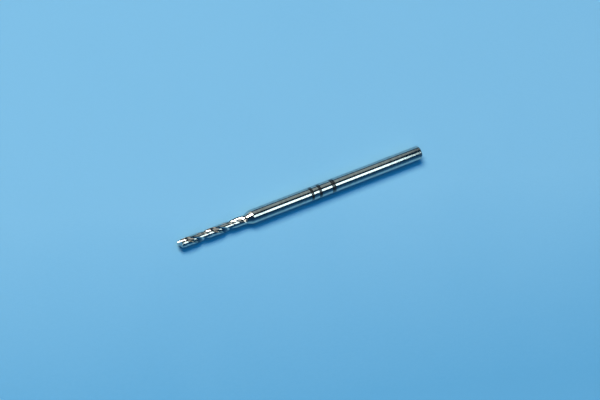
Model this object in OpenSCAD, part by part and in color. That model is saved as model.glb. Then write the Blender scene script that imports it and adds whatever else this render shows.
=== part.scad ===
// Twist drill for dental work: a fluted head with a tenon, brazed into a straight shank.
// The tool lies on its side along X, point towards -X and tail towards +X.
// The origin is the middle of its length, on the surface that the shank lies on.

/* [Overall] */
// Length from the chisel edge to the tail face
overall_length = 21; // [18:0.5:40]

/* [Shank] */
// Diameter of the straight shank
shank_diameter = 1.07; // [0.9:0.01:1.6]
// Length of the cone that leads from the shank down to the head
cone_length = 0.48; // [0.3:0.02:1.5]
// Width and depth of the chamfer round the tail
tail_chamfer = 0.07; // [0.03:0.01:0.15]

/* [Fluted head] */
// Diameter across the cutting corners
head_diameter = 0.7; // [0.6:0.05:0.8]
// Length from the chisel edge to the head's shoulder
head_length = 5.7; // [4:0.05:8]
// Helix angle of the flutes at the outside
helix_angle = 27; // [15:0.5:35]
// Point angle, across both lips
point_angle = 118; // [100:1:140]
// Turn of the lips about the axis, as the tool happens to lie
point_turn = 73; // [0:1:179]
// Relief angle of the flank behind each lip
relief_angle = 12; // [6:1:18]
// Thickness of the web between the flutes, as a share of the diameter
web_share = 0.27; // [0.2:0.01:0.4]
// Angle that each land takes round the axis
land_turn = 94; // [70:1:110]
// Angle that the raised margin takes at the front of each land
margin_turn = 32; // [10:1:40]
// Depth of the land behind the margin, below the full radius
land_clearance = 0.015; // [0.005:0.001:0.03]
// Length over which the flutes run out, up to the shoulder
runout_length = 1.5; // [0.8:0.1:2.5]

/* [Brazed joint] */
// Diameter of the tenon on the head
tenon_diameter = 0.44; // [0.3:0.01:0.46]
// Length of the tenon
tenon_length = 1.5; // [0.8:0.1:3]
// Thickness of the braze round the tenon and on the shoulder
braze_gap = 0.02; // [0.02:0.005:0.03]
// How far the braze stays below the head's full radius, as a fine groove
braze_recess = 0.01; // [0.005:0.005:0.02]

/* [Marking rings] */
// Distance from the chisel edge to the middle of each ring
ring_places = [11.33, 12.01, 13.18]; // [10:0.01:17]
// Width of each ring
ring_widths = [0.24, 0.24, 0.32]; // [0.1:0.01:0.4]
// Depth of the grooves that the rings fill
ring_depth = 0.02; // [0.02:0.005:0.04]

/* [Hidden] */
NODES = ["fluted_head", "shank", "braze_joint", "mark_ring_front", "mark_ring_middle", "mark_ring_rear"];

$fn = 96;
ring_nodes = [NODES[3], NODES[4], NODES[5]];
shank_radius = shank_diameter / 2;
head_radius = head_diameter / 2;
tenon_radius = tenon_diameter / 2;
socket_radius = tenon_radius + braze_gap;
front_face = head_length + braze_gap;      // shank's front face, from the chisel edge
cone_end = front_face + cone_length;
socket_floor = head_length + tenon_length;
socket_tip = socket_radius / tan(59);      // cone that the socket's drill leaves
lead = PI * head_diameter / tan(helix_angle);
web_half = web_share * head_radius;
lip_slope = 1 / tan(point_angle / 2);
relief_slope = tan(relief_angle);
lip_lag = tan(helix_angle) * lip_slope / head_radius * 180 / PI;
shoulder_flute = 0.03;                     // flute depth left where it meets the shoulder
corner_step = 6;                           // turn of the step from margin to land, in degrees
ring_count = 84;                           // cross-sections along the head
margin_steps = 2;
land_steps = 4;
heel_steps = 6;
rake_steps = 6;

// Angle of the flute's rake face at radius r. A straight lip, swept back along the helix.
function rake_angle(r) =
    180 - asin(min(1, web_half / r)) - lip_lag * sqrt(max(0, r * r - web_half * web_half));

// The rake face meets the outside here, and the land takes up the angle behind it.
cut_angle = rake_angle(head_radius) - 180;
margin_end = cut_angle + margin_turn;
heel_angle = cut_angle + land_turn;

// The heel side of the flute is an arc that leaves the web square to it and ends at the heel.
heel_rise = head_radius * sin(heel_angle) - web_half;
heel_arc = (pow(head_radius * cos(heel_angle), 2) + heel_rise * heel_rise) / (2 * heel_rise);
heel_centre = web_half + heel_arc;

// Angle of the flute's heel side at radius r
function heel_side_angle(r) =
    let (s = (r * r - heel_arc * heel_arc - heel_centre * heel_centre) / (2 * heel_centre * heel_arc),
         a = asin(max(-1, min(1, s))))
    atan2(heel_centre + heel_arc * sin(a), heel_arc * cos(a));

// How far the grinding wheel has lifted at distance x from the point: nothing, then an arc
function wheel_lift(x) =
    let (u = max(0, min(1, (x - head_length + runout_length) / runout_length)))
    (head_radius - web_half - shoulder_flute) * u * u;

// The land's clearance fades out with the flutes
function land_radius(lift) =
    head_radius - land_clearance * max(0, 1 - lift / (4 * land_clearance));

// Polar points [radius, angle] of half a cross-section, from one cutting corner to the next
function half_section(lift) =
    let (top = head_radius - lift,
         land = land_radius(lift),
         corner = rake_angle(top) - 180,
         heel = heel_side_angle(land - lift),
         land_start = margin_end + corner_step)
    concat(
        [for (i = [0:margin_steps]) [head_radius, corner + (margin_end - corner) * i / margin_steps]],
        [for (i = [0:land_steps]) [land, land_start + (heel - land_start) * i / land_steps]],
        [for (i = [1:heel_steps])
            let (r = web_half + (land - lift - web_half) * pow(1 - i / heel_steps, 2))
            [r + lift, heel_side_angle(r)]],
        [for (i = [1:rake_steps - 1])
            let (r = web_half + (top - web_half) * pow(i / rake_steps, 2))
            [r + lift, rake_angle(r)]]
    );

function section(lift) =
    let (half = half_section(lift))
    concat(half, [for (p = half) [p[0], p[1] + 180]]);

// Distance from the chisel edge back to the flanks, at polar point p turned by the helix.
// Each flank is a plane through its lip, and the two meet in the chisel edge.
function flank(p, x) =
    let (a = p[1] + 360 * x / lead)
    p[0] * abs(cos(a) * lip_slope + sin(a) * relief_slope);

// The flank's distance depends on the turn there, so it is found by repetition
function flank_end(p, x = 0, turns = 10) =
    turns == 0 ? x : flank_end(p, flank(p, x), turns - 1);

// A point of the head: along X from the chisel edge, then round the axis
function on_head(p, x) =
    let (a = p[1] + 360 * x / lead)
    [x, p[0] * cos(a), p[0] * sin(a)];

module fluted_body() {
    tip_section = section(0);
    count = len(tip_section);
    starts = [for (p = tip_section) flank_end(p)];
    rings = [for (k = [0:ring_count], i = [0:count - 1])
        let (x = starts[i] + (head_length - starts[i]) * k / ring_count)
        on_head(section_at(i, x), x)];
    tip = len(rings);
    last = ring_count * count;
    polyhedron(
        points = concat(rings, [[0, 0, 0], [head_length, 0, 0]]),
        faces = concat(
            [for (i = [0:count - 1]) [tip, i, (i + 1) % count]],
            [for (k = [0:ring_count - 1], i = [0:count - 1])
                let (a = k * count + i, b = k * count + (i + 1) % count)
                each [[a, a + count, b + count], [a, b + count, b]]],
            [for (i = [0:count - 1]) [tip + 1, last + (i + 1) % count, last + i]]
        )
    );
}

// Point i of the cross-section at distance x
function section_at(i, x) = section(wheel_lift(x))[i];

// Turns a profile of [distance from the chisel edge, radius] points about the tool's axis
module turned(profile) {
    rotate([0, 90, 0])
        rotate_extrude()
            polygon([for (p = profile) [p[1], p[0]]]);
}

// Moves a piece drawn from the chisel edge, on the axis, to where it lies
module in_place() {
    translate([-overall_length / 2, 0, shank_radius])
        children();
}

module fluted_head() {
    tenon_overlap = 0.1;
    color([0.80, 0.81, 0.82])
        in_place() {
            rotate([point_turn, 0, 0])
                fluted_body();
            translate([head_length - tenon_overlap, 0, 0])
                rotate([0, 90, 0])
                    cylinder(h = tenon_length + tenon_overlap, r = tenon_radius);
        }
}

module shank() {
    groove_floor = shank_radius - ring_depth;
    grooves = [for (i = [0:len(ring_places) - 1])
        let (front = ring_places[i] - ring_widths[i] / 2, rear = ring_places[i] + ring_widths[i] / 2)
        each [[front, shank_radius], [front, groove_floor], [rear, groove_floor], [rear, shank_radius]]];
    color([0.62, 0.62, 0.60])
        in_place()
            turned(concat(
                [[socket_floor + socket_tip, 0], [socket_floor, socket_radius]],
                [[front_face, socket_radius], [front_face, head_radius], [cone_end, shank_radius]],
                grooves,
                [[overall_length - tail_chamfer, shank_radius],
                 [overall_length, shank_radius - tail_chamfer],
                 [overall_length, 0]]
            ));
}

// Filler metal: a sleeve round the tenon, and a thin washer between the shoulder and the shank
module braze_joint() {
    color([0.78, 0.66, 0.42])
        in_place()
            turned([
                [head_length, tenon_radius], [head_length, head_radius - braze_recess],
                [front_face, head_radius - braze_recess], [front_face, socket_radius],
                [socket_floor, socket_radius], [socket_floor, tenon_radius]
            ]);
}

module mark_ring(i) {
    front = ring_places[i] - ring_widths[i] / 2;
    rear = ring_places[i] + ring_widths[i] / 2;
    color([0.10, 0.10, 0.11])
        in_place()
            turned([
                [front, shank_radius - ring_depth], [front, shank_radius],
                [rear, shank_radius], [rear, shank_radius - ring_depth]
            ]);
}

fluted_head();
shank();
braze_joint();
for (i = [0:len(ring_nodes) - 1])
    mark_ring(i);
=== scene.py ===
"""A small dental twist drill lying on a pale blue card.

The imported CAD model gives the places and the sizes. Finely meshed pieces stand for its nodes:
the fluted head, the shank, the braze and the three marking rings. Lengths are in metres.
"""
import math

import bpy
from mathutils import Matrix, Vector


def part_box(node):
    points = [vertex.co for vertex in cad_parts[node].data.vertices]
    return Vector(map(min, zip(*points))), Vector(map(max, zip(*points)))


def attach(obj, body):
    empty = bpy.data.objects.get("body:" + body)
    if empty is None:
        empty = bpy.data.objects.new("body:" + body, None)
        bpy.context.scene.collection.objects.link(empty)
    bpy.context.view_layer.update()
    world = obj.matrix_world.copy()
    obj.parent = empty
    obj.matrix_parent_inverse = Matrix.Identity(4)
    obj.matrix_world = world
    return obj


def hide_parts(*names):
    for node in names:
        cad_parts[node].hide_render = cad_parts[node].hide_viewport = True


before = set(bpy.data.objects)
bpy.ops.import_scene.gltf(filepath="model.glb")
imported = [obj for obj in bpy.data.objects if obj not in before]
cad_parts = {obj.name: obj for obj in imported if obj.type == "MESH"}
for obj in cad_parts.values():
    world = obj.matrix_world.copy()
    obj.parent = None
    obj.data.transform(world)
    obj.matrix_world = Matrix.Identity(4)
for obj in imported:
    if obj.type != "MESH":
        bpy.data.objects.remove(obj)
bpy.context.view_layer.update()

# ---------------------------------------------------------------- sizes, from the frame

MM = 0.001
HEAD_LOW, HEAD_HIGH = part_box("fluted_head")
SHANK_LOW, SHANK_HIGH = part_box("shank")
BRAZE_LOW, BRAZE_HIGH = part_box("braze_joint")
RINGS = ["mark_ring_front", "mark_ring_middle", "mark_ring_rear"]

POINT_X = HEAD_LOW.x
AXIS_Z = (SHANK_HIGH.z + SHANK_LOW.z) / 2
SHANK_R = (SHANK_HIGH.z - SHANK_LOW.z) / 2
BRAZE_R = (BRAZE_HIGH.z - BRAZE_LOW.z) / 2
# The box carries small rounding errors, so the head's radius is rounded to 0.01 mm
HEAD_R = round((HEAD_HIGH.z - HEAD_LOW.z) / 2, 5)

# Places along the tool, from the point
HEAD_LENGTH = BRAZE_LOW.x - POINT_X
FRONT_FACE = SHANK_LOW.x - POINT_X
TENON_END = HEAD_HIGH.x - POINT_X
OVERALL_LENGTH = SHANK_HIGH.x - POINT_X
BRAZE_GAP = FRONT_FACE - HEAD_LENGTH

# The rest of the tool's form, as in the CAD model
CONE_LENGTH = 0.48 * MM
TAIL_CHAMFER = 0.07 * MM
TENON_R = 0.22 * MM
SOCKET_R = TENON_R + BRAZE_GAP
SOCKET_TIP_ANGLE = 118
RING_DEPTH = 0.02 * MM
HELIX_ANGLE = 27
POINT_ANGLE = 118
RELIEF_ANGLE = 12
WEB_SHARE = 0.27
LAND_TURN = 94
MARGIN_TURN = 32
MARGIN_STEP_TURN = 6
LAND_CLEARANCE = 0.015 * MM
CLEARANCE_FADE = 4 * LAND_CLEARANCE
RUNOUT_LENGTH = 1.5 * MM
SHOULDER_FLUTE = 0.03 * MM
POINT_TURN = 73

# Not in the CAD model: the tenon's chamfer, and the radii of the rounded edges
TENON_CHAMFER = 0.15 * TENON_R
FRONT_EDGE = 0.01 * MM
CONE_EDGE = 0.04 * MM
TAIL_EDGE = 0.02 * MM
RING_EDGE = 0.2 * RING_DEPTH

# How finely the meshes are cut
TURNED_STEPS = 192
EDGE_STEPS = 4
HEAD_STEPS = 460
MARGIN_STEPS, LAND_STEPS, HEEL_STEPS, RAKE_STEPS = 8, 32, 32, 28

# Edges that turn more than this are shaded sharp
SHARP_ANGLE = 25

# ---------------------------------------------------------------- helpers


def mix(start, end, t):
    return start + (end - start) * t


def add_object(name, data):
    """A new object in the scene that carries the mesh, light or camera."""
    thing = bpy.data.objects.new(name, data)
    bpy.context.scene.collection.objects.link(thing)
    return thing


def placed(place, right, up, back):
    """The matrix of an object at a place, with its own X, Y and Z along three directions."""
    return Matrix.Translation(place) @ Matrix((right, up, back)).transposed().to_4x4()


def add_mesh(name, points, faces, zones=None):
    """A mesh object drawn along X from the point, on the axis, and moved to where it lies.

    The zones say which of the piece's materials each face has.
    """
    mesh = bpy.data.meshes.new(name)
    mesh.from_pydata([(POINT_X + x, y, AXIS_Z + z) for x, y, z in points], [], faces)
    if zones:
        mesh.polygons.foreach_set("material_index", zones)
    mesh.polygons.foreach_set("use_smooth", [True] * len(faces))
    mesh.set_sharp_from_angle(angle=math.radians(SHARP_ANGLE))
    mesh.update()
    return add_object(name, mesh)


def rounded(corners):
    """Profile points [x, r], with an arc in place of each corner [x, r, radius]."""
    points = []
    for k, (x, r, *fillet) in enumerate(corners):
        if not fillet:
            points.append((x, r))
            continue
        radius = fillet[0]
        here = Vector((x, r))
        before = (Vector(corners[k - 1][:2]) - here).normalized()
        after = (Vector(corners[k + 1][:2]) - here).normalized()
        half = before.angle(after) / 2
        reach = radius / math.tan(half)
        centre = here + (before + after).normalized() * radius / math.sin(half)
        start = here + before * reach - centre
        end = here + after * reach - centre
        for i in range(EDGE_STEPS + 1):
            spoke = start.slerp(end, i / EDGE_STEPS)
            points.append(tuple(centre + spoke.normalized() * radius))
    return points


def turned(name, profile):
    """A closed piece made by turning a profile of [x, r] points about the axis.

    A profile that starts on the axis ends there too. Any other one runs back to its start.
    """
    points, faces, rows = [], [], []
    for x, r in profile:
        spokes = TURNED_STEPS if r > 0 else 1
        rows.append(range(len(points), len(points) + spokes))
        for k in range(spokes):
            a = 2 * math.pi * k / TURNED_STEPS
            points.append((x, r * math.cos(a), r * math.sin(a)))
    pairs = list(zip(rows, rows[1:]))
    if profile[0][1] > 0:
        pairs.append((rows[-1], rows[0]))
    for a, b in pairs:
        for k in range(TURNED_STEPS):
            n = (k + 1) % TURNED_STEPS
            if len(a) == 1:
                faces.append((a[0], b[n], b[k]))
            elif len(b) == 1:
                faces.append((a[k], a[n], b[0]))
            else:
                faces.append((a[k], a[n], b[n], b[k]))
    return add_mesh(name, points, faces)


# ---------------------------------------------------------------- fluted head

LEAD = math.pi * 2 * HEAD_R / math.tan(math.radians(HELIX_ANGLE))
WEB_HALF = WEB_SHARE * HEAD_R
LIP_SLOPE = 1 / math.tan(math.radians(POINT_ANGLE / 2))
RELIEF_SLOPE = math.tan(math.radians(RELIEF_ANGLE))
LIP_LAG = math.tan(math.radians(HELIX_ANGLE)) * LIP_SLOPE / HEAD_R
FLANK_PASSES = 12

# Marks that the grinding wheel leaves along the flutes: how deep, how far apart, and the phase.
# The distance across them is the radius, and the slant's share of the way round.
WHEEL_MARKS = ((0.6e-6, 85e-6, 0.4), (0.3e-6, 37e-6, 2.1))
MARK_SLANT = 0.3

# The zones of half a cross-section that lie in a flute, and the head's three materials
FLUTE_ZONES = ("heel side", "rake")
GROUND_OUTSIDE, GROUND_FLUTE, GROUND_POINT = range(3)


def rake_angle(r):
    """Angle of the flute's rake face at radius r: a straight lip, swept back along the helix."""
    out = math.sqrt(max(0, r * r - WEB_HALF * WEB_HALF))
    return math.pi - math.asin(min(1, WEB_HALF / r)) - LIP_LAG * out


CUT_ANGLE = rake_angle(HEAD_R) - math.pi
MARGIN_END = CUT_ANGLE + math.radians(MARGIN_TURN)
LAND_START = MARGIN_END + math.radians(MARGIN_STEP_TURN)
HEEL_ANGLE = CUT_ANGLE + math.radians(LAND_TURN)
HEEL_RISE = HEAD_R * math.sin(HEEL_ANGLE) - WEB_HALF
HEEL_ARC = ((HEAD_R * math.cos(HEEL_ANGLE)) ** 2 + HEEL_RISE**2) / (2 * HEEL_RISE)
HEEL_CENTRE = WEB_HALF + HEEL_ARC


def heel_side_angle(r):
    """Angle of the flute's heel side at radius r: an arc that leaves the web square to it."""
    s = (r * r - HEEL_ARC**2 - HEEL_CENTRE**2) / (2 * HEEL_CENTRE * HEEL_ARC)
    a = math.asin(max(-1, min(1, s)))
    return math.atan2(HEEL_CENTRE + HEEL_ARC * math.sin(a), HEEL_ARC * math.cos(a))


def wheel_lift(x):
    """How far the grinding wheel has lifted at x from the point: nothing, then an arc."""
    u = max(0, min(1, (x - HEAD_LENGTH + RUNOUT_LENGTH) / RUNOUT_LENGTH))
    return (HEAD_R - WEB_HALF - SHOULDER_FLUTE) * u * u


def land_radius(lift):
    """Radius of the land behind the margin. Its clearance fades out with the flutes."""
    return HEAD_R - LAND_CLEARANCE * max(0, 1 - lift / CLEARANCE_FADE)


def section_point(zone, t, lift):
    """Radius and angle of a point of half a cross-section: t runs from 0 to 1 along its zone."""
    top = HEAD_R - lift
    land = land_radius(lift)
    if zone == "margin":
        return HEAD_R, mix(rake_angle(top) - math.pi, MARGIN_END, t)
    if zone == "land":
        return land, mix(LAND_START, heel_side_angle(land - lift), t)
    if zone == "heel side":
        r = mix(WEB_HALF, land - lift, (1 - t) ** 2)
        return r + lift, heel_side_angle(r)
    r = mix(WEB_HALF, top, t**2)
    return r + lift, rake_angle(r)


def section_plan():
    """(zone, t, half turn) of every point round the head, from one cutting corner on."""
    half = [("margin", i / MARGIN_STEPS) for i in range(MARGIN_STEPS + 1)]
    half += [("land", i / LAND_STEPS) for i in range(LAND_STEPS + 1)]
    half += [("heel side", i / HEEL_STEPS) for i in range(1, HEEL_STEPS + 1)]
    half += [("rake", i / RAKE_STEPS) for i in range(1, RAKE_STEPS)]
    return [(zone, t, half_turn) for half_turn in (0, math.pi) for zone, t in half]


def flank_x(r, a):
    """Distance from the chisel edge back to the flanks, where the helix brings the point round.

    It depends on the turn there, so it is found by repetition.
    """
    x = 0
    for _ in range(FLANK_PASSES):
        turn = a + 2 * math.pi * x / LEAD
        x = r * abs(math.cos(turn) * LIP_SLOPE + math.sin(turn) * RELIEF_SLOPE)
    return x


def wheel_mark(distance):
    """How far the surface stands in at a distance across the flute: two waves that drift apart."""
    return sum(
        depth * (0.5 - 0.5 * math.cos(2 * math.pi * distance / pitch + phase))
        for depth, pitch, phase in WHEEL_MARKS
    )


def head_rings(plan):
    """Rings of section points, one after another from the flanks back to the shoulder."""
    starts = []
    for zone, t, half_turn in plan:
        r, a = section_point(zone, t, 0)
        starts.append(flank_x(r, a + half_turn))
    points = []
    for k in range(HEAD_STEPS + 1):
        for start, (zone, t, half_turn) in zip(starts, plan):
            x = mix(start, HEAD_LENGTH, k / HEAD_STEPS)
            r, a = section_point(zone, t, wheel_lift(x))
            if zone in FLUTE_ZONES:
                edge_fade = math.sin(math.pi * t)
                r -= wheel_mark(r + MARK_SLANT * HEAD_R * a) * edge_fade
            a += half_turn + 2 * math.pi * x / LEAD + math.radians(POINT_TURN)
            points.append((x, r * math.cos(a), r * math.sin(a)))
    return points


def tenon_rings(rim):
    """Rings that step down from the shoulder's rim to the tenon, and end in its small chamfer."""
    points = []
    for x, r in (
        (HEAD_LENGTH, TENON_R),
        (TENON_END - TENON_CHAMFER, TENON_R),
        (TENON_END, TENON_R - TENON_CHAMFER),
    ):
        for _, y, z in rim:
            scale = r / math.hypot(y, z)
            points.append((x, y * scale, z * scale))
    return points


def make_head():
    """The fluted head and its tenon: rings of points, closed by a fan of faces at each end."""
    plan = section_plan()
    count = len(plan)
    rings = head_rings(plan)
    rings += tenon_rings(rings[-count:])
    points = [(0, 0, 0)] + rings + [(TENON_END, 0, 0)]
    faces = [(0, 1 + (i + 1) % count, 1 + i) for i in range(count)]
    zones = [GROUND_POINT] * count
    for k in range(len(rings) // count - 1):
        for i, (zone, _, _) in enumerate(plan):
            a = 1 + k * count + i
            b = 1 + k * count + (i + 1) % count
            faces.append((a, b, b + count, a + count))
            fluted = k < HEAD_STEPS and zone in FLUTE_ZONES
            zones.append(GROUND_FLUTE if fluted else GROUND_OUTSIDE)
    last = 1 + len(rings) - count
    faces += [(last + i, last + (i + 1) % count, len(points) - 1) for i in range(count)]
    zones += [GROUND_OUTSIDE] * count
    head = add_mesh("fluted_head_ground", points, faces, zones)
    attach(head, "root")
    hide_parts("fluted_head")
    return head


# ---------------------------------------------------------------- shank, braze and rings

# The braze's rim at the shoulder: how far across the gap, and the share of the full sink there
BRAZE_RIM = ((0, 0), (0.25, 0.8), (0.5, 1), (0.75, 0.8), (1, 0))
BRAZE_SINK = 0.3 * BRAZE_GAP


def ring_span(node):
    """Where a marking ring starts and ends, from the point."""
    low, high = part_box(node)
    return low.x - POINT_X, high.x - POINT_X


def make_shank():
    """The shank, drawn from the socket's tip to the front face, and then outside to the tail."""
    socket_tip = SOCKET_R / math.tan(math.radians(SOCKET_TIP_ANGLE / 2))
    groove_floor = SHANK_R - RING_DEPTH
    corners = [
        (TENON_END + socket_tip, 0),
        (TENON_END, SOCKET_R),
        (FRONT_FACE, SOCKET_R),
        (FRONT_FACE, HEAD_R, FRONT_EDGE),
        (FRONT_FACE + CONE_LENGTH, SHANK_R, CONE_EDGE),
    ]
    for node in RINGS:
        start, end = ring_span(node)
        corners += [(start, SHANK_R), (start, groove_floor), (end, groove_floor), (end, SHANK_R)]
    corners += [
        (OVERALL_LENGTH - TAIL_CHAMFER, SHANK_R, TAIL_EDGE),
        (OVERALL_LENGTH, SHANK_R - TAIL_CHAMFER, TAIL_EDGE),
        (OVERALL_LENGTH, 0),
    ]
    shank = turned("shank_turned", rounded(corners))
    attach(shank, "root")
    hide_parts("shank")
    return shank


def make_braze():
    """A sleeve round the tenon, and a washer at the shoulder whose rim sinks in a little."""
    rim = [
        (mix(HEAD_LENGTH, FRONT_FACE, across), BRAZE_R - BRAZE_SINK * share)
        for across, share in BRAZE_RIM
    ]
    inside = [(TENON_END, TENON_R), (HEAD_LENGTH, TENON_R)]
    outside = [(FRONT_FACE, SOCKET_R), (TENON_END, SOCKET_R)]
    braze = turned("braze_line", inside + rim + outside)
    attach(braze, "root")
    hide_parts("braze_joint")
    return braze


def make_ring(node):
    """The ink of a marking ring, which fills its groove."""
    start, end = ring_span(node)
    inner = SHANK_R - RING_DEPTH
    corners = [
        (start, inner),
        (start, SHANK_R, RING_EDGE),
        (end, SHANK_R, RING_EDGE),
        (end, inner),
    ]
    ring = turned(node + "_ink", rounded(corners))
    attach(ring, "root")
    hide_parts(node)
    return ring


# ---------------------------------------------------------------- materials


class Surface:
    """A material and the short calls that build its shader nodes."""

    def __init__(self, name, **values):
        self.material = bpy.data.materials.new(name)
        self.material.use_nodes = True
        self.tree = self.material.node_tree
        self.shader = self.tree.nodes["Principled BSDF"]
        for key, value in values.items():
            self.shader.inputs[key.replace("_", " ")].default_value = value

    def add(self, kind, inputs, **settings):
        """A node, with each input set to a number, a colour or another node's output."""
        node = self.tree.nodes.new("ShaderNode" + kind)
        for key, value in settings.items():
            setattr(node, key, value)
        for key, value in inputs.items():
            if isinstance(value, bpy.types.NodeSocket):
                self.tree.links.new(value, node.inputs[key])
            else:
                node.inputs[key].default_value = value
        return node

    def maths(self, operation, *values):
        return self.add("Math", dict(enumerate(values)), operation=operation).outputs[0]

    def remap(self, value, low, high, start, end):
        """The value, clamped between low and high and stretched to run from start to end."""
        node = self.add("MapRange", {0: value, 1: low, 2: high, 3: start, 4: end})
        return node.outputs[0]

    def blend(self, share, first, second):
        """A colour between the first and the second. The Mix node's colours are inputs 6 and 7."""
        node = self.add("Mix", {0: share, 6: (*first, 1), 7: (*second, 1)}, data_type="RGBA")
        return node.outputs[2]

    def place(self):
        """The surface point in millimetres, from the tool's point and axis: in X, Y and Z."""
        spot = self.add("TexCoord", {}).outputs["Object"]
        parts = self.add("SeparateXYZ", {0: spot}).outputs
        along = self.maths("MULTIPLY", self.maths("SUBTRACT", parts[0], POINT_X), 1 / MM)
        across = self.maths("MULTIPLY", parts[1], 1 / MM)
        height = self.maths("MULTIPLY", self.maths("SUBTRACT", parts[2], AXIS_Z), 1 / MM)
        return along, across, height

    def untwisted(self):
        """The same point with the helix taken out, so that a flute runs straight along the tool."""
        along, across, height = self.place()
        turn = self.maths("MULTIPLY", along, 2 * math.pi * MM / LEAD)
        cosine, sine = self.maths("COSINE", turn), self.maths("SINE", turn)
        first = self.maths(
            "ADD", self.maths("MULTIPLY", across, cosine), self.maths("MULTIPLY", height, sine)
        )
        second = self.maths(
            "SUBTRACT", self.maths("MULTIPLY", height, cosine), self.maths("MULTIPLY", across, sine)
        )
        return along, first, second

    def noise(self, spot, per_mm, detail, roughness=0.5):
        """Cloudy noise from 0 to 1, with its own count of features per millimetre each way."""
        scaled = [self.maths("MULTIPLY", part, count) for part, count in zip(spot, per_mm)]
        vector = self.add("CombineXYZ", dict(enumerate(scaled))).outputs[0]
        inputs = {"Vector": vector, "Scale": 1.0, "Detail": detail, "Roughness": roughness}
        return self.add("TexNoise", inputs).outputs[0]

    def finish(self, colour, roughness, height, depth):
        """Links what varies over the surface to the shader. A height of 1 is depth metres high.

        With None for the roughness, the shader keeps its own.
        """
        inputs = self.shader.inputs
        self.tree.links.new(colour, inputs["Base Color"])
        if roughness is not None:
            self.tree.links.new(roughness, inputs["Roughness"])
        bump = self.add("Bump", {"Strength": 1.0, "Distance": depth, "Height": height})
        self.tree.links.new(bump.outputs[0], inputs["Normal"])
        return self.material


STEEL = {"Metallic": 1.0, "Specular_Tint": (0.72, 0.74, 0.76, 1)}

# Where the bands that chucks rub fade in, in millimetres from the point
GRIP_START = (14, 15.5)

# Where the card's painted shade starts and stops deepening its colour, in millimetres, how much
# that line leans along the tool, and the two colours, lit and shaded
CARD_SHADE_SPAN = (-3, 13)
CARD_SHADE_LEAN = 0.25
CARD_LIT = (0.210, 0.424, 0.523)
CARD_SHADED = (0.120, 0.335, 0.463)


def outside_steel():
    """Lands, margins and tenon: ground round the axis, with lines that follow the turn."""
    surface = Surface("ground_steel_outside", **STEEL)
    spot = surface.place()
    lines = surface.noise(spot, (32, 0.9, 0.9), 3)
    stains = surface.noise(spot, (1.6, 2.2, 2.2), 3)
    stained = surface.remap(stains, 0.35, 0.7, 0, 1)
    colour = surface.blend(stained, (0.66, 0.65, 0.61), (0.55, 0.54, 0.49))
    return surface.finish(colour, surface.remap(lines, 0.3, 0.7, 0.07, 0.14), lines, 0.5e-6)


def flute_steel():
    """Flutes and run-out: wheel lines along the helix, and painted shade that darkens the colour
    near the web.
    """
    surface = Surface("ground_steel_flute", **STEEL)
    spot = surface.untwisted()
    lines = surface.noise(spot, (0.5, 34, 34), 3)
    clouds = surface.noise(spot, (1.5, 5, 5), 3)
    squares = [surface.maths("POWER", part, 2) for part in spot[1:]]
    out = surface.maths("SQRT", surface.maths("ADD", *squares))
    # Painted shade: the colour darkens deeper in the flute, towards the web, and random clouds
    # break it up
    depth = surface.remap(out, WEB_HALF / MM, HEAD_R / MM, 0.9, 0.1)
    share = surface.maths("MULTIPLY", depth, surface.remap(clouds, 0.3, 0.7, 0.5, 1.2))
    colour = surface.blend(share, (0.68, 0.67, 0.63), (0.50, 0.49, 0.46))
    return surface.finish(colour, surface.remap(lines, 0.25, 0.75, 0.05, 0.13), lines, 0.4e-6)


def point_steel():
    """The flanks of the point: straight lines from one pass of a flat wheel."""
    surface = Surface("ground_steel_point", **STEEL)
    spot = surface.place()
    lines = surface.noise(spot, (4, 30, 2), 3)
    streaks = surface.remap(lines, 0.3, 0.7, 0, 1)
    colour = surface.blend(streaks, (0.70, 0.69, 0.66), (0.58, 0.57, 0.54))
    return surface.finish(colour, surface.remap(lines, 0.3, 0.7, 0.09, 0.18), lines, 0.6e-6)


def shank_steel():
    """Shank: fine grinding lines round it, bands rubbed by chucks, and a few long scratches."""
    surface = Surface("ground_steel_shank", **STEEL)
    spot = surface.place()
    lines = surface.noise(spot, (26, 0.5, 0.5), 4, 0.6)
    bands = surface.noise(spot, (2.6, 0.3, 0.3), 3)
    scratches = surface.remap(surface.noise(spot, (0.35, 22, 22), 1), 0.66, 0.72, 0, 1)
    gripped = surface.remap(spot[0], *GRIP_START, 0, 1)
    rubbed = surface.maths("MULTIPLY", gripped, surface.remap(bands, 0.4, 0.65, 0, 1))
    dulled = surface.remap(bands, 0.3, 0.7, 0, 1)
    colour = surface.blend(dulled, (0.62, 0.62, 0.59), (0.48, 0.48, 0.44))
    rough = surface.remap(lines, 0.3, 0.7, 0.07, 0.13)
    rough = surface.maths("ADD", rough, surface.maths("MULTIPLY", rubbed, 0.05))
    rough = surface.maths("ADD", rough, surface.maths("MULTIPLY", scratches, 0.08))
    height = surface.maths("SUBTRACT", lines, surface.maths("MULTIPLY", scratches, 0.6))
    return surface.finish(colour, rough, height, 0.5e-6)


def silver_braze():
    """Filler metal: a pale, slightly yellow bead with a dull, uneven skin."""
    surface = Surface("silver_braze", Metallic=1.0)
    spot = surface.place()
    skin = surface.noise(spot, (14, 9, 9), 4, 0.6)
    tarnish = surface.remap(skin, 0.35, 0.65, 0, 1)
    colour = surface.blend(tarnish, (0.66, 0.58, 0.42), (0.38, 0.32, 0.23))
    return surface.finish(colour, surface.remap(skin, 0.3, 0.7, 0.25, 0.5), skin, 2e-6)


def mark_ink():
    """Glossy brown-black ink that has worn thin in specks."""
    surface = Surface("mark_ink", Specular_IOR_Level=0.6, Coat_Weight=1.0, Coat_Roughness=0.05)
    spot = surface.place()
    grain = surface.noise(spot, (30, 20, 20), 3, 0.6)
    worn = surface.remap(grain, 0.62, 0.72, 0, 0.8)
    colour = surface.blend(worn, (0.004, 0.0038, 0.003), (0.07, 0.067, 0.06))
    return surface.finish(colour, surface.remap(grain, 0.3, 0.7, 0.16, 0.34), grain, 1.5e-6)


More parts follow.
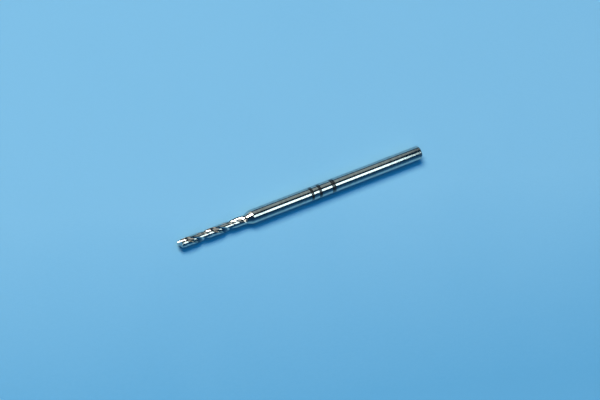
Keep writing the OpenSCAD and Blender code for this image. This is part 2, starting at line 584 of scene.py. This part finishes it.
def card_blue():
    """Matt card: pale blue, with painted shade that deepens it a little towards -Y, and short paper
    fibres.
    """
    surface = Surface("card_blue", Roughness=0.75, Specular_IOR_Level=0.2)
    spot = surface.place()
    fibres = surface.noise(spot, (3.5, 9, 3), 4, 0.65)
    clouds = surface.noise(spot, (0.12, 0.12, 0.12), 2)
    # Painted shade: the colour deepens towards -Y and a little along the tool, as the light falls
    # off across the card
    slope = surface.maths("SUBTRACT", surface.maths("MULTIPLY", spot[0], -CARD_SHADE_LEAN), spot[1])
    painted_shade_and_grain = surface.remap(slope, *CARD_SHADE_SPAN, 0, 1)
    painted_shade_and_grain = surface.maths("ADD", painted_shade_and_grain, surface.remap(fibres, 0.3, 0.7, -0.05, 0.05))
    painted_shade_and_grain = surface.maths("ADD", painted_shade_and_grain, surface.remap(clouds, 0.3, 0.7, -0.04, 0.04))
    colour = surface.blend(painted_shade_and_grain, CARD_LIT, CARD_SHADED)
    return surface.finish(colour, None, fibres, 8e-6)


# ---------------------------------------------------------------- the tool

head = make_head()
shank = make_shank()
braze = make_braze()
rings = [make_ring(node) for node in RINGS]

# In the order of GROUND_OUTSIDE, GROUND_FLUTE and GROUND_POINT
for material in (outside_steel(), flute_steel(), point_steel()):
    head.data.materials.append(material)
shank.data.materials.append(shank_steel())
braze.data.materials.append(silver_braze())
ink = mark_ink()
for ring in rings:
    ring.data.materials.append(ink)

# ---------------------------------------------------------------- floor

CARD_HALF = 0.6


def make_floor():
    """The card that the tool lies on, far wider than the frame."""
    low, high = -CARD_HALF, CARD_HALF
    corners = [(low, low, 0), (high, low, 0), (high, high, 0), (low, high, 0)]
    mesh = bpy.data.meshes.new("card")
    mesh.from_pydata(corners, [], [(0, 1, 2, 3)])
    card = add_object("card", mesh)
    card.data.materials.append(card_blue())


make_floor()

# ---------------------------------------------------------------- light

MIDDLE = Vector((POINT_X + OVERALL_LENGTH / 2, 0, AXIS_Z))
LIGHT_DISTANCE = 0.8


def round_axis(angle, along):
    """Direction at an angle round the tool's axis (0 is +Y, 90 is up) that leans along +X."""
    out = math.sqrt(1 - along * along)
    a = math.radians(angle)
    return Vector((along, out * math.cos(a), out * math.sin(a)))


def seen_size(spread):
    """Width of a light that takes up this angle, seen from the tool."""
    return 2 * LIGHT_DISTANCE * math.tan(math.radians(spread) / 2)


def soft_light(name, angle, along, spread_round, spread_along, radiance, colour, lights="all"):
    """A rectangular softbox that faces the tool, in the direction that round_axis gives.

    The spreads are the angles that it takes up. It lights everything, or only what is matt,
    or only what is glossy.
    """
    away = round_axis(angle, along)
    side = (Vector((1, 0, 0)) - away * away.x).normalized()
    data = bpy.data.lights.new(name, "AREA")
    data.shape = "RECTANGLE"
    data.size = seen_size(spread_along)
    data.size_y = seen_size(spread_round)
    data.energy = radiance * math.pi * data.size * data.size_y
    data.color = colour
    light = add_object(name, data)
    light.matrix_world = placed(MIDDLE + away * LIGHT_DISTANCE, side, away.cross(side), away)
    light.visible_diffuse = lights != "gloss"
    light.visible_glossy = lights != "matt"


WARM, COOL, PALE, SKY = (1.0, 0.955, 0.85), (0.70, 0.93, 1.0), (0.87, 1.0, 0.97), (0, 0.43, 1)

# The window and the panels that the steel shows, then the sky that turns the shadow blue
soft_light("window_high", 56, -0.27, 21, 25, 23.5, WARM)
soft_light("window_low", 26, -0.02, 40, 22, 1.0, WARM, "gloss")
soft_light("overhead_strip", 102.5, 0.445, 26, 11, 3.0, COOL, "gloss")
soft_light("grey_panel", 38.5, 0.42, 39, 15, 0.39, PALE, "gloss")
soft_light("overhead_wide", 100, 0.10, 22, 24, 1.5, WARM, "gloss")
soft_light("window_sky", 70, -0.20, 20, 34, 4.5, SKY, "matt")
soft_light("sky_fill", 95, 0, 80, 80, 0.72, SKY, "matt")


def make_world():
    """A dark room that is bluer towards the horizon, and darkest on the side of +Y."""
    world = bpy.data.worlds.new("studio")
    world.use_nodes = True
    nodes, links = world.node_tree.nodes, world.node_tree.links
    coords = nodes.new("ShaderNodeTexCoord")
    parts = nodes.new("ShaderNodeSeparateXYZ")
    links.new(coords.outputs["Generated"], parts.inputs[0])

    ramp = nodes.new("ShaderNodeValToRGB")
    links.new(parts.outputs["Z"], ramp.inputs[0])
    links.new(ramp.outputs[0], nodes["Background"].inputs["Color"])
    horizon, middle = ramp.color_ramp.elements
    horizon.position, horizon.color = 0.1, (0.045, 0.17, 0.34, 1)
    middle.position, middle.color = 0.5, (0.006, 0.055, 0.155, 1)
    top = ramp.color_ramp.elements.new(0.85)
    top.color = (0.008, 0.036, 0.075, 1)

    side = nodes.new("ShaderNodeMapRange")
    links.new(parts.outputs["Y"], side.inputs["Value"])
    side_range = {"From Min": -0.1, "From Max": 0.5, "To Min": 1.0, "To Max": 0.35}
    for key, value in side_range.items():
        side.inputs[key].default_value = value
    links.new(side.outputs[0], nodes["Background"].inputs["Strength"])
    bpy.context.scene.world = world


make_world()

# ---------------------------------------------------------------- camera

# The line of sight leans towards the point's side, and stands almost over the tool's axis.
# The lean is a sine. The other two angles are in degrees.
SIGHT_LEAN = 0.42
SIGHT_ROUND = 93
FRAME_TILT = 21.07
CAMERA_DISTANCE = 0.30
# How wide the frame is at the tool, and where it is aimed, from the tool's middle
FRAME_WIDTH = 0.044327
AIM_RIGHT, AIM_UP = -0.032 * MM, -0.143 * MM


def add_camera():
    """The camera, turned in its own plane by the frame's tilt."""
    back = round_axis(SIGHT_ROUND, -SIGHT_LEAN)
    along = (Vector((1, 0, 0)) - back * back.x).normalized()
    across = back.cross(along)
    tilt = math.radians(FRAME_TILT)
    right = along * math.cos(tilt) - across * math.sin(tilt)
    up = along * math.sin(tilt) + across * math.cos(tilt)
    data = bpy.data.cameras.new("camera")
    data.sensor_width = 36
    data.lens = data.sensor_width * CAMERA_DISTANCE / FRAME_WIDTH
    data.clip_start, data.clip_end = 0.01, 10
    camera = add_object("camera", data)
    place = MIDDLE + right * AIM_RIGHT + up * AIM_UP + back * CAMERA_DISTANCE
    camera.matrix_world = placed(place, right, up, back)
    bpy.context.scene.camera = camera


add_camera()
bpy.context.scene.view_settings.view_transform = "Standard"

# ---------------------------------------------------------------- the end

bpy.context.view_layer.update()
